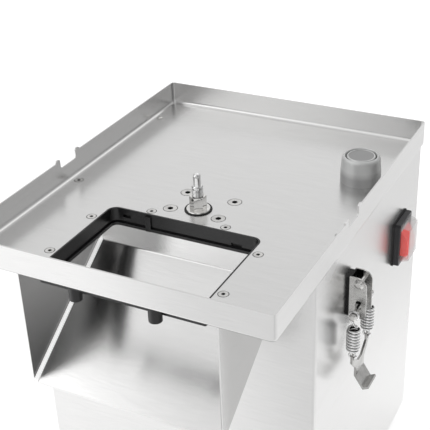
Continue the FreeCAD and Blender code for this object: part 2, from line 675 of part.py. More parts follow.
def make_shell():
    """One folded sheet: front and both sides, with inward flanges at the rear, bottom and top."""
    shell = new_body("body_shell")
    inner, tab = f"({BODY_X} - gauge)", f"({BODY_X} - flange)"
    wall = [(f"-{tab}", REAR_FACE), (f"-{BODY_X}", REAR_FACE), (f"-{BODY_X}", "body_front"),
            (BODY_X, "body_front"), (BODY_X, REAR_FACE), (tab, REAR_FACE), (tab, f"{REAR_FACE} - gauge"),
            (inner, f"{REAR_FACE} - gauge"), (inner, "body_front + gauge"),
            (f"-{inner}", "body_front + gauge"),
            (f"-{inner}", f"{REAR_FACE} - gauge"), (f"-{tab}", f"{REAR_FACE} - gauge")]
    pad(shell, sketch(shell, outlines=[wall], lift="body_foot"), "tray_under - body_foot")
    skirt = [(f"-{inner}", f"{REAR_FACE} - gauge"), (f"-{inner}", "body_front + gauge"),
             (inner, "body_front + gauge"), (inner, f"{REAR_FACE} - gauge"), (tab, f"{REAR_FACE} - gauge"),
             (tab, "body_front + flange"), (f"-{tab}", "body_front + flange"),
             (f"-{tab}", f"{REAR_FACE} - gauge")]
    pad(shell, sketch(shell, outlines=[skirt], lift="body_foot"), "gauge")
    shelves = [rectangle(spans, ("-48", f"{REAR_FACE} - gauge"))
               for spans in ((f"-{inner}", f"-{tab}"), (tab, inner))]
    pad(shell, sketch(shell, outlines=shelves, lift="tray_under - gauge"), "gauge")
    front, half = number("body_front"), number(BODY_X)
    bevel(shell, "Fillet", "body_bend", lambda m, d: (
        upright(m, d) and near(m.y, front) and near(abs(m.x), half)))
    throat_floor = f"bend_height - {SLANT} + (body_front - bend_front) * {SLOPE} - gap"
    throat = [rectangle(("-chute_width / 2 - gap", "chute_width / 2 + gap"),
                        (throat_floor, "tray_under + 1"))]
    pocket(shell, sketch(shell, "XZ_Plane", throat, lift="-body_front - gauge - 1"), "gauge + 3", flip=True)
    right = [rectangle(("switch_mid - 15.2", "switch_mid + 15.2"),
                       ("switch_height - 19.2", "switch_height + 19.2"))]
    pocket(shell, sketch(shell, "YZ_Plane", right, lift=f"{BODY_X} + 1"), "5")
    holes = [(y, z, "2 + gap") for y, z in LATCH_SPOTS]
    pocket(shell, sketch(shell, "YZ_Plane", circles=holes))
    low = [(x, y, "2 + gap") for x, y in BASE_SCREWS]
    pocket(shell, sketch(shell, circles=low, lift="body_foot + 5"), "7")
    high = [(x, y, "3") for x, y in TRAY_SCREWS] + [(x, y, "2 + gap") for x, y in TRAY_RIVETS]
    pocket(shell, sketch(shell, circles=high, lift="tray_under + 1"), "5")
    rear = [(x, z, "2 + gap") for x, z in COVER_SCREWS]
    pocket(shell, sketch(shell, "XZ_Plane", circles=rear, lift=f"-({REAR_FACE}) - 1"), "5", flip=True)
    return shell


body_shell = make_shell()


def make_rear_cover():
    cover = new_body("rear_cover")
    plate = [rectangle((f"-{BODY_X}", BODY_X), ("body_foot", "tray_under"))]
    pad(cover, sketch(cover, "XZ_Plane", plate, lift="-body_rear"), "gauge")
    bevel(cover, "Fillet", "3", lambda m, d: abs(d.y) > 0.99)
    holes = [(x, z, "2 + gap") for x, z in COVER_SCREWS] + [("95", "40", "7.1")]
    pocket(cover, sketch(cover, "XZ_Plane", circles=holes))
    for left in ("-85", "15"):
        slot = sketch(cover, "XZ_Plane", [rectangle((left, f"{left} + 70"), ("70", "74"))])
        row(cover, pocket(cover, slot), "Z_Axis", "84", 8)
    return cover


rear_cover = make_rear_cover()
rear_cover_screws = group("rear_cover_screws", screw_m4_pan,
                          [(x, "body_rear", z) for x, z in COVER_SCREWS], "y")


def make_base():
    base = new_body("base_plate")
    inner = f"({BODY_X} - gauge - 0.2)"
    plate = [rectangle((f"-{inner}", inner), ("body_front + gauge + 0.2", f"{REAR_FACE} - gauge - 0.2"))]
    pad(base, sketch(base, outlines=plate, lift="body_foot + gauge"), "gauge")
    holes = [(x, y, "2 + gap") for x, y in BASE_SCREWS]
    holes += [(f"{side} * foot_x", y, "2.5 + gap") for side in (-1, 1) for y in ("foot_front", "foot_rear")]
    pocket(base, sketch(base, outlines=[], circles=holes))
    slot = sketch(base, outlines=[rectangle(("-60", "60"), ("-80", "-76"))])
    row(base, pocket(base, slot), "Y_Axis", "70", 8)
    return base


base_plate = make_base()
base_screws = group("base_screws", screw_m4_pan, [(x, y, "body_foot") for x, y in BASE_SCREWS], "-z")

foot_shape = turned("foot_shape", [
    ("2.6", "4.5"), ("6.5", "4.5"), ("6.5", "0"), ("11.5", "0"), ("13", "1"), ("15.5", "body_foot - 0.6"),
    ("15.5", "body_foot + gauge"), ("2.6", "body_foot + gauge")])
FEET = [(f"{side} * foot_x", y) for side in (-1, 1) for y in ("foot_front", "foot_rear")]
rubber_feet = group("rubber_feet", foot_shape, [(x, y, "0") for x, y in FEET])
foot_screws = group("foot_screws", screw_m5_pan, [(x, y, "4.5") for x, y in FEET], "-z")

# ---------------------------------------------------------------- power switch, on the right side


def side_plate(name, width, height, start, depth, bend):
    """A rounded block on the body side, centred on the switch."""
    block = box(name + "_blank", (f"{BODY_X} + {start}", f"{BODY_X} + {start} + {depth}"),
                (f"switch_mid - {width} / 2", f"switch_mid + {width} / 2"),
                (f"switch_height - {height} / 2", f"switch_height + {height} / 2"))
    return rounded(name, block, bend, lambda m, d: abs(d.x) > 0.99)


def switch_window(name, width, height, start, depth):
    return box(name, (f"{BODY_X} + {start}", f"{BODY_X} + {start} + {depth}"),
               (f"switch_mid - {width} / 2", f"switch_mid + {width} / 2"),
               (f"switch_height - {height} / 2", f"switch_height + {height} / 2"))


switch_gasket = cut("switch_gasket", side_plate("switch_gasket_sheet", 37.8, 46.4, 0, 1.2, "3"),
                    switch_window("switch_gasket_hole", 31, 39, -1, 4))
switch_bezel = side_plate("switch_bezel", 36, 44.6, 1.2, "(switch_front - 1.2)", "2.5")
switch_face = rounded("switch_face", switch_bezel, "1",
                      lambda m, d: near(m.x, number(f"{BODY_X} + switch_front")))
switch_inside = switch_window("switch_inside", 30, 38, -26, 28)
switch_housing = cut(
    "switch_housing", fuse("switch_block", switch_face, switch_inside),
    switch_window("switch_well", 24, 32, -9, 30),
    switch_window("switch_rim_step", 29, 37.6, "(switch_front - 1.5)", 20))


def make_rocker():
    """Rocker tilted to its off side; it turns about a pin along Y through its own origin."""
    rocker = new_body("switch_rocker", (f"{BODY_X} + switch_front - 3", "switch_mid", "switch_height"), "x")
    outline = [("-13", "-6"), ("13", "-6"), ("13.6", "7.6"), ("11.5", "9.6"), ("-3", "8.4"), ("-14", "1.6")]
    slab = pad(rocker, sketch(rocker, "XZ_Plane", [outline]), "22.4")
    slab.Midplane = True
    front = number(f"{BODY_X} + switch_front")
    bevel(rocker, "Fillet", "0.8", lambda m, d: m.x > front + 1)
    return rocker


switch_rocker = make_rocker()


def make_switch_cover():
    """Clear splash cover: a hollow cap with sloped sides, held in the step of the housing."""
    cap = new_body("switch_cover", (f"{BODY_X} + switch_front - 1.45", "switch_mid", "switch_height"), "side")
    rim = pad(cap, sketch(cap, outlines=[rectangle(("-14.4", "14.4"), ("-18.7", "18.7"))]), "9.65")
    rim.TaperAngle = -12
    front = number(f"{BODY_X} + switch_front + 8.2")
    bevel(cap, "Fillet", "1.5", lambda m, d: near(m.x, front))
    hollow = pocket(cap, sketch(cap, outlines=[rectangle(("-13.3", "13.3"), ("-17.6", "17.6"))]), "8.65",
                    flip=True)
    hollow.TaperAngle = -12
    return cap


switch_cover = make_switch_cover()

# ---------------------------------------------------------------- spring pull latches

BAR_OUT = f"({BODY_X} + latch_bar_out)"
LATCH = (BODY_X, "latch_mid", "latch_bar_height")


def make_latch_bracket():
    """Channel on a spacer strip, with a slot for the bar and a hole for the upper rivet in each cheek."""
    bracket = new_body("latch_bracket", LATCH)
    side = pad(bracket, sketch(bracket, "XZ_Plane", [rectangle(("2.5", "17.5"), ("-9", "30.5"))]), "16")
    side.Midplane = True
    reach = number(f"{BODY_X} + 17.5")
    top = number("latch_bar_height + 30.5")
    bevel(bracket, "Fillet", "9", lambda m, d: abs(d.y) > 0.99 and near(m.x, reach) and near(m.z, top))
    bevel(bracket, "Fillet", "4", lambda m, d: (
        abs(d.y) > 0.99 and near(m.x, reach) and near(m.z, number("latch_bar_height - 9"))))
    inside = sketch(bracket, "XZ_Plane", [rectangle(("4", "20"), ("-12", "34"))])
    pocket(bracket, inside, "13").Midplane = True
    strip = pad(bracket, sketch(bracket, "XZ_Plane", [rectangle(("0", "2.5"), ("-9", "29"))]), "14")
    strip.Midplane = True
    slot = [(("latch_bar_out - 2.6", "latch_bar_out + 2.6"), ("-2.6", "8.4"), "2.55")]
    pocket(bracket, sketch(bracket, "XZ_Plane", rounds=slot, circles=[("latch_bar_out", "25", "2.05")]))
    pocket(bracket, sketch(bracket, "YZ_Plane", circles=[("0", "-3", "2.05"), ("0", "17", "2.05")]))
    return bracket


def cross_pin(name, half_length, radius, head_radius, head, at):
    """Pin along Y with a low head at each end."""
    return turned(name, [
        ("0", f"-{half_length + head}"), (f"{head_radius * 0.55}", f"-{half_length + head * 0.95}"),
        (f"{head_radius}", f"-{half_length + head * 0.35}"), (f"{head_radius}", f"-{half_length}"),
        (f"{radius}", f"-{half_length}"), (f"{radius}", f"{half_length}"),
        (f"{head_radius}", f"{half_length}"),
        (f"{head_radius}", f"{half_length + head * 0.35}"),
        (f"{head_radius * 0.55}", f"{half_length + head * 0.95}"),
        ("0", f"{half_length + head}")], at, "y")


SPRING_TOP, SPRING_PITCH, SPRING_TURNS, WIRE, SPRING_RADIUS = 11, 2.9, 8, 1.1, 5.1
SPRING_FOOT = SPRING_TOP + SPRING_PITCH * (SPRING_TURNS + 1)
EYE_TOP_RADIUS, EYE_FOOT_RADIUS = 3.7, 2.9
FOOT_EYE = SPRING_FOOT + 4.2


def make_latch_spring(name, side):
    """Extension spring: the wound part as a ridged sleeve with closed ends, a round eye at each end."""
    y = f"latch_mid + {side} * spring_offset"
    axis = (BAR_OUT, y)
    inner, valley, crest = SPRING_RADIUS - WIRE, SPRING_RADIUS + 0.3 * WIRE, SPRING_RADIUS + WIRE
    profile = [(0, 0), (valley, 0)]
    for turn in range(SPRING_TURNS + 1):
        foot = turn * SPRING_PITCH
        profile += [(crest, foot + 0.3 * SPRING_PITCH), (crest, foot + 0.7 * SPRING_PITCH),
                    (valley, foot + SPRING_PITCH)]
    length = SPRING_FOOT - SPRING_TOP
    profile += [(0, length), (0, length - 2 * WIRE), (inner, length - 2 * WIRE), (inner, 2 * WIRE),
                (0, 2 * WIRE)]
    winding = turned(name + "_winding", [(f"{r:.3f}", f"{z:.3f}") for r, z in profile],
                     (*axis, f"latch_bar_height - {SPRING_FOOT}"))
    parts = [winding]
    for end, drop, radius in (("top", 0, EYE_TOP_RADIUS), ("foot", FOOT_EYE, EYE_FOOT_RADIUS)):
        eye = doc.addObject("Part::Torus", f"{name}_{end}_eye")
        parts.append(place(bind(eye, Radius1=radius, Radius2=WIRE), (*axis, f"latch_bar_height - {drop}"),
                           "y"))
    leg = SPRING_TOP - EYE_TOP_RADIUS + 1
    parts.append(rod(name + "_top_leg", 0.9 * WIRE, leg, (*axis, f"latch_bar_height - {SPRING_TOP + 1}")))
    leg = FOOT_EYE - EYE_FOOT_RADIUS - SPRING_FOOT + 1
    parts.append(rod(name + "_foot_leg", 0.9 * WIRE, leg,
                     (*axis, f"latch_bar_height - {SPRING_FOOT + leg - 1}")))
    return fuse(name, *parts)


def make_latch_hook():
    """Sheet hook: two ears hung on the springs, a throat that narrows to the tongue, and a finger lip."""
    hook = new_body("latch_hook", LATCH)
    ear = FOOT_EYE + EYE_FOOT_RADIUS
    half = [("20.6", f"{3.4 - ear}"), ("20.6", f"-{ear + 4.5}"), ("10", f"-{ear + 16}"),
            ("10", f"-{ear + 24}")]
    neck = [("4", f"-{ear + 11}"), ("15.4", f"-{ear + 2.5}"), ("15.4", f"{3.4 - ear}")]
    outline = (half + [(f"-{y}", z) for y, z in reversed(half)]
               + [(f"-{y}", z) for y, z in reversed(neck)] + neck)
    front = "latch_bar_out - 1"
    pad(hook, sketch(hook, "YZ_Plane", [outline], lift=front), "2")
    holes = [(f"{side} * spring_offset", f"-{ear}", "1.7") for side in (-1, 1)]
    pocket(hook, sketch(hook, "YZ_Plane", circles=holes))
    low = ear + 24
    tongue = [(front, f"{1 - low}"), ("latch_bar_out + 1", f"{1 - low}"), ("latch_bar_out + 1", f"-{low}"),
              ("latch_bar_out + 8", f"-{low + 11}"), ("latch_bar_out + 12.2", f"-{low + 9}"),
              ("latch_bar_out + 13", f"-{low + 10.8}"), ("latch_bar_out + 7.4", f"-{low + 13.6}"),
              (front, f"-{low + 0.6}")]
    pad(hook, sketch(hook, "XZ_Plane", [tongue]), "20").Midplane = True
    return hook


spring_pair = [make_latch_spring(f"latch_spring_{side + 2}", side) for side in (-1, 1)]
latch_springs = doc.addObject("Part::Compound", "latch_springs")
latch_springs.Links = spring_pair
rivet_latch = dome_rivet("rivet_latch", 2, 6)
RIGHT_LATCH = {
    "latch_bracket": make_latch_bracket(),
    "latch_bar": cross_pin("latch_bar", 21, 2.5, 3.6, 1.4, (BAR_OUT, "latch_mid", "latch_bar_height")),
    "latch_stay_rivet": cross_pin("latch_stay_rivet", 8, 2, 4.3, 2.2,
                                  (BAR_OUT, "latch_mid", "latch_bar_height + 25")),
    "latch_springs": latch_springs,
    "latch_hook": make_latch_hook(),
    "latch_rivets": group("latch_rivets", rivet_latch, [(f"{BODY_X} + 4", y, z) for y, z in LATCH_SPOTS],
                          "x"),
}
LATCH_NODES = {f"{name}_right": piece for name, piece in RIGHT_LATCH.items()}
for name, piece in RIGHT_LATCH.items():
    LATCH_NODES[name + "_left"] = mirrored(name + "_left", piece)

# ---------------------------------------------------------------- drive line, all axes along Y

HOUSING_Y = ("-41", "1")
BEARING_WIDTH = 11


def make_bearing():
    """Sealed ball bearing as one ring, with the groove between its races on both faces."""
    half = BEARING_WIDTH / 2
    face = [("7.55", f"-{half}"), ("10", f"-{half}"), ("10.4", f"{0.5 - half}"), ("14.6", f"{0.5 - half}"),
            ("15", f"-{half}"), ("17.5", f"-{half}")]
    back = [(r, z[1:] if z.startswith("-") else f"-{z}") for r, z in reversed(face)]
    return turned("bearing_6202", face + back)


def make_drive_housing():
    """Casting below the tray: a flange for four screws and the stud, a block with two bored bearing lines."""
    slab = box("housing_flange_blank", ("-34", "34"), HOUSING_Y, ("tray_under - 12", "tray_under"))
    flange = rounded("housing_flange", slab, "6", upright)
    core = box("housing_block_blank", ("shaft_x - 24", "shaft_x + 24"), HOUSING_Y,
               ("counter_height - 23", "tray_under - 6"))
    block = rounded("housing_block", core, "5", lambda m, d: abs(d.y) > 0.99)
    tools = []
    for line in ("output_height", "counter_height"):
        tools.append(rod(f"bore_{line}", "10", "60", ("shaft_x", "-50", line), "y"))
        for end, start in (("front", HOUSING_Y[0]), ("rear", f"{HOUSING_Y[1]} - {BEARING_WIDTH}")):
            tools.append(rod(f"seat_{line}_{end}", "17.5", BEARING_WIDTH, ("shaft_x", start, line), "y"))
    for index, (x, y) in enumerate(BEARING_SCREWS):
        tools.append(rod(f"housing_thread_{index}", "3 + gap", "20", (x, y, "tray_under - 16")))
        tools.append(rod(f"housing_mouth_{index}", "4.8", "4", (x, y, "tray_under - 1.8")))
    tools.append(rod("housing_stud_thread", "5", "20", ("0", "stud_mid", "tray_under - 17")))
    for side in (-1, 1):
        tools.append(rod(f"housing_relief_{side}", "9", "50",
                         (f"shaft_x + {side} * 27", "-45", "(output_height + counter_height) / 2"), "y"))
    return cut("drive_housing", fuse("housing_casting", flange, block), *tools)


def gear(name, teeth, width, at, start):
    """Spur gear with involute flanks, bored for the shaft; start is the angle of its first tooth."""
    module, count, backlash = number("gear_module"), int(number(teeth)), 0.3
    pitch = module * count / 2
    base, tip, root = pitch * math.cos(math.radians(20)), pitch + module, pitch - 1.25 * module

    def swing(radius):
        return math.tan(math.acos(base / radius)) - math.acos(base / radius)

    half_tooth = (math.pi * module / 2 - backlash) / (2 * pitch) + swing(pitch)
    radii = [max(base, root) + (tip - max(base, root)) * step / 5 for step in range(6)]
    flank = [(radius, half_tooth - swing(max(radius, base))) for radius in radii]
    if root < base:
        flank.insert(0, (root, flank[0][1]))
    points = []
    for tooth in range(count):
        middle = start + 2 * math.pi * tooth / count
        for radius, angle in [(r, -a) for r, a in flank] + [(r, a) for r, a in reversed(flank)]:
            points.append(FreeCAD.Vector(radius * math.cos(middle + angle),
                                         radius * math.sin(middle + angle), 0))
    outline = Part.Face(Part.makePolygon(points + points[:1]))
    blank = outline.extrude(FreeCAD.Vector(0, 0, number(width)))
    bore = Part.makeCylinder(number("shaft_radius"), number(width) + 2, FreeCAD.Vector(0, 0, -1))
    return place(made(name, blank.cut(bore)), at, "y")


GEAR_FACE = "-49.5"
drive_bearing = make_bearing()
drive_housing = make_drive_housing()
BEARING_LINES = [("shaft_x", y, line) for line in ("output_height", "counter_height")
                 for y in (f"{HOUSING_Y[0]} + {BEARING_WIDTH / 2}", f"{HOUSING_Y[1]} - {BEARING_WIDTH / 2}")]
drive_bearings = group("drive_bearings", drive_bearing, BEARING_LINES, "y")


def shaft(name, start, length, height):
    """Ground shaft with a small bevel at each end."""
    return turned(name, [
        ("0", "0"), ("shaft_radius - 0.8", "0"), ("shaft_radius", "0.8"), ("shaft_radius", f"{length} - 0.8"),
        ("shaft_radius - 0.8", length), ("0", length)], ("shaft_x", start, height), "y")


output_shaft = shaft("output_shaft", "-50.5", "54", "output_height")
counter_shaft = shaft("counter_shaft", "-50.5", "86", "counter_height")
motor_shaft = shaft("motor_shaft", "8", "152", "motor_height")
output_gear = gear("output_gear", "output_teeth", "gear_width", ("shaft_x", GEAR_FACE, "output_height"),
                   math.pi / 2)
counter_pinion = gear("counter_pinion", "pinion_teeth", "gear_width",
                      ("shaft_x", GEAR_FACE, "counter_height"),
                      -math.pi / 2 + math.pi / number("pinion_teeth"))
PULLEY_HALF = "(belt_width / 2 + 3)"


def pulley(name, line_radius, height):
    """Flanged belt pulley; the belt runs on its drum with a small clearance."""
    drum = f"{line_radius} - belt_thick / 2 - 0.3"
    rim = f"{line_radius} + belt_thick / 2 + 1"
    lip = "(belt_width / 2 + 0.6)"
    return turned(name, [
        ("shaft_radius", f"-{PULLEY_HALF}"), (f"{rim} - 0.6", f"-{PULLEY_HALF}"),
        (rim, f"0.6 - {PULLEY_HALF}"),
        (rim, f"-{lip} - 0.5"), (drum, f"-{lip}"), (drum, lip), (rim, f"{lip} + 0.5"),
        (rim, f"{PULLEY_HALF} - 0.6"), (f"{rim} - 0.6", PULLEY_HALF), ("shaft_radius", PULLEY_HALF)],
        ("shaft_x", "belt_mid", height), "y")


motor_pulley = pulley("motor_pulley", "small_pulley_radius", "motor_height")


def make_large_pulley():
    """The driven pulley has a shallow ring turned out of each face."""
    wheel = pulley("large_pulley", "large_pulley_radius", "counter_height")
    rim_inside = "large_pulley_radius - belt_thick / 2 - 5"
    for flip, lift in ((False, PULLEY_HALF), (True, f"-{PULLEY_HALF}")):
        ring = sketch(wheel, circles=[("0", "0", rim_inside), ("0", "0", "17")], lift=lift)
        pocket(wheel, ring, "2.5", flip)
    return wheel


large_pulley = make_large_pulley()


def make_belt():
    """Flat belt round both pulleys: the loop's outside less its inside."""
    small, large = number("small_pulley_radius"), number("large_pulley_radius")
    low, high = number("motor_height"), number("counter_height")
    lean = math.asin((large - small) / (high - low))

    def loop(offset):
        edges = []
        points = {}
        for side in (-1, 1):
            for key, radius, height in (("small", small + offset, low), ("large", large + offset, high)):
                points[key, side] = FreeCAD.Vector(
                    side * radius * math.cos(lean), 0, height - radius * math.sin(lean))
        top = FreeCAD.Vector(0, 0, high + large + offset)
        bottom = FreeCAD.Vector(0, 0, low - small - offset)
        edges.append(Part.Arc(points["large", 1], top, points["large", -1]).toShape())
        edges.append(Part.makeLine(points["large", -1], points["small", -1]))
        edges.append(Part.Arc(points["small", -1], bottom, points["small", 1]).toShape())
        edges.append(Part.makeLine(points["small", 1], points["large", 1]))
        return Part.Face(Part.Wire(edges)).extrude(FreeCAD.Vector(0, number("belt_width"), 0))

    half = number("belt_thick / 2")
    band = made("drive_belt", loop(half).cut(loop(-half)))
    return place(band, ("shaft_x", "belt_mid - belt_width / 2", "0"))


drive_belt = make_belt()

# ---------------------------------------------------------------- motor

MOTOR_REAR = "(motor_front + motor_length)"
CAP = 12


def make_motor_housing():
    """Finned tube, its own axis along Y."""
    tube = new_body("motor_housing", ("shaft_x", "motor_front", "motor_height"), "y")
    pad(tube, sketch(tube, circles=[("0", "0", "motor_radius"), ("0", "0", "motor_radius - 4")]),
        "motor_length")
    fin = pad(tube, sketch(tube, outlines=[rectangle(("-1", "1"), ("motor_radius - 1", "motor_radius + 3"))]),
              "motor_length")
    polar(tube, fin, 28)
    return tube


def motor_cap(name, at, along):
    """End cap with a bearing seat open towards the motor."""
    return turned(name, [
        ("10", "0"), ("22", "0"), ("24", "2"), ("motor_radius - 3", "4"), ("motor_radius", "7"),
        ("motor_radius", f"{CAP}"), ("17.5", f"{CAP}"), ("17.5", "1"), ("10", "1")], at, along)


motor_housing = make_motor_housing()
motor_front_cap = motor_cap("motor_front_cap", ("shaft_x", f"motor_front - {CAP}", "motor_height"), "y")
motor_rear_cap = motor_cap("motor_rear_cap", ("shaft_x", f"{MOTOR_REAR} + {CAP}", "motor_height"), "-y")
motor_bearings = group("motor_bearings", drive_bearing, [
    ("shaft_x", f"motor_front - {BEARING_WIDTH / 2}", "motor_height"),
    ("shaft_x", f"{MOTOR_REAR} + {BEARING_WIDTH / 2}", "motor_height")], "y")


def motor_ring(name, outer, inner, bevel_size):
    start, length = "motor_front + 15", "motor_length - 30"
    return turned(name, [
        (inner, "0"), (f"{outer} - {bevel_size}", "0"), (outer, bevel_size),
        (outer, f"{length} - {bevel_size}"),
        (f"{outer} - {bevel_size}", length), (inner, length)], ("shaft_x", start, "motor_height"), "y")


motor_stator = motor_ring("motor_stator", "motor_radius - 4", "31", "2")
motor_rotor = motor_ring("motor_rotor", "30.5", "shaft_radius", "1")
CRADLE_Y = ("62", "130")
STRAP_TOP = 60


def make_cradle():
    """Floor plate with two saddles that carry the motor."""
    plate = box("cradle_plate", ("shaft_x - 66", "shaft_x + 66"), ("58", "142"),
                ("body_foot + 2 * gauge", "17"))
    saddles = [box(f"cradle_saddle_{index}", ("shaft_x - 66", "shaft_x + 66"), (y, f"{y} + 8"),
                   ("16", STRAP_TOP))
               for index, y in enumerate(CRADLE_Y)]
    seat = rod("cradle_seat", "motor_radius + 3.2", "120", ("shaft_x", "45", "motor_height"), "y")
    return cut("motor_cradle", fuse("cradle_blank", plate, *saddles), seat)


def make_straps():
    """Two half bands over the motor, with ears that sit on the saddles."""
    bands = []
    for index, y in enumerate(CRADLE_Y):
        outer = rod(f"strap_outer_{index}", "motor_radius + 5.2", "8", ("shaft_x", y, "motor_height"), "y")
        ears = box(f"strap_ears_{index}", ("shaft_x - 66", "shaft_x + 66"), (y, f"{y} + 8"),
                   (STRAP_TOP, STRAP_TOP + 3))
        inner = rod(f"strap_inner_{index}", "motor_radius + 3.2", "10",
                    ("shaft_x", f"{y} - 1", "motor_height"), "y")
        below = box(f"strap_below_{index}", ("shaft_x - 80", "shaft_x + 80"), (f"{y} - 1", f"{y} + 9"),
                    ("0", STRAP_TOP))
        bands.append(cut(f"strap_{index}", fuse(f"strap_blank_{index}", outer, ears), inner, below))
    straps = doc.addObject("Part::Compound", "motor_straps")
    straps.Links = bands
    return straps


motor_cradle = make_cradle()
motor_straps = make_straps()

# ---------------------------------------------------------------- electrics

CAPACITOR = ("85", "-25", "body_foot + 2 * gauge")
capacitor = turned("run_capacitor", [
    ("0", "0"), ("19", "0"), ("20", "1"), ("20", "74"), ("18.5", "76"), ("18.5", "74.8"), ("6", "74.8"),
    ("6", "80"), ("0", "80")], CAPACITOR)
capacitor_clamp = turned("capacitor_clamp", [
    ("20", "0"), ("27", "0"), ("27", "1.5"), ("21.5", "1.5"), ("21.5", "14"), ("20", "14")], CAPACITOR)


def make_terminal_block():
    """Moulded block with a row of wire pockets."""
    block = new_body("terminal_block", ("85", "70", "body_foot + 2 * gauge"))
    pad(block, sketch(block, rounds=[centred_round("26", "62", "2")]), "19")
    well = sketch(block, outlines=[rectangle(("-10", "10"), ("-28", "-20"))], lift="19")
    row(block, pocket(block, well, "9"), "Y_Axis", "48", 5)
    return block


terminal_block = make_terminal_block()
cord_grommet = turned("cord_grommet", [
    ("4.2", "-4.5"), ("9", "-4.5"), ("9", "-1.5"), ("7", "-1.5"), ("7", "0"), ("11", "0"), ("11", "1.2"),
    ("9.5", "3"), ("4.2", "3")], ("95", "body_rear", "40"), "y")

# ---------------------------------------------------------------- export

NODES = {item.Name: item for item in (
    top_tray, feed_frame, feed_frame_screws, drive_housing_screws, tray_screws, tray_rivets, hold_down_stud,
    stud_spacer, stud_washer, stud_seal, interlock_housing, interlock_plunger, interlock_spring,
    interlock_micro_switch, discharge_chute, body_shell, rear_cover, rear_cover_screws, base_plate,
    base_screws,
    rubber_feet, foot_screws, switch_gasket, switch_housing, switch_rocker, switch_cover, drive_housing,
    drive_bearings, output_shaft, output_gear, counter_shaft, counter_pinion, large_pulley, drive_belt,
    motor_pulley, motor_shaft, motor_rotor, motor_stator, motor_housing, motor_front_cap, motor_rear_cap,
    motor_bearings, motor_cradle, motor_straps, capacitor, capacitor_clamp, terminal_block, cord_grommet)}
NODES.update(LATCH_NODES)

doc.recompute()
failed = [item.Name for item in doc.Objects if "Invalid" in item.State or "Error" in item.State]
if failed:
    raise RuntimeError(f"failed features: {failed}")
os.makedirs("parts", exist_ok=True)
for name, item in NODES.items():
    if item.Shape.isNull() or not item.Shape.isValid() or not item.Shape.Solids:
        raise RuntimeError(f"{name}: bad shape")
    item.Label = name
    item.Shape.exportStep(f"parts/{name}.step")
    print(f"{name}: {len(item.Shape.Solids)} solid(s), {item.Shape.Volume / 1000:.1f} cm3")
print(len(NODES), "nodes")
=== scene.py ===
"""Looks for the bench-top meat cutter: finishes, wound springs, studio light and camera."""
import json
import math

import bpy
from mathutils import Matrix, Vector


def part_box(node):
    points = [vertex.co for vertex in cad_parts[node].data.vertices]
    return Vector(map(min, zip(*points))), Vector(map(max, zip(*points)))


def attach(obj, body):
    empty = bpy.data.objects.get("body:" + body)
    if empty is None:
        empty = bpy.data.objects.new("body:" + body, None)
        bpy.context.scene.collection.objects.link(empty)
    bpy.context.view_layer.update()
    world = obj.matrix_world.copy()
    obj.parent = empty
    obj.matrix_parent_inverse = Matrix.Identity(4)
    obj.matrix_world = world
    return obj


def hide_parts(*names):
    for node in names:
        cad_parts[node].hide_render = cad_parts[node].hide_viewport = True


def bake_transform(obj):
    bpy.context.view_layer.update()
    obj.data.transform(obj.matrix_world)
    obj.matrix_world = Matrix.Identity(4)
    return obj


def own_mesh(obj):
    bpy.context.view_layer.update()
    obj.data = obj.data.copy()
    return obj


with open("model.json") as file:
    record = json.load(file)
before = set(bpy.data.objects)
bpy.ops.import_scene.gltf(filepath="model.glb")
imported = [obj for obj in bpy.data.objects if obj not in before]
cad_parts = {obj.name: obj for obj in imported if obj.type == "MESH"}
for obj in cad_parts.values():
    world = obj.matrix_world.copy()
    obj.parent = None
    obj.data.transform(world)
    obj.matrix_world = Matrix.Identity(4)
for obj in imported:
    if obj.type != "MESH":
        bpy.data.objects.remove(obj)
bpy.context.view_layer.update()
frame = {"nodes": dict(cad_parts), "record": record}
nodes = frame["nodes"]
scene = bpy.context.scene


# ---------------------------------------------------------------- node building

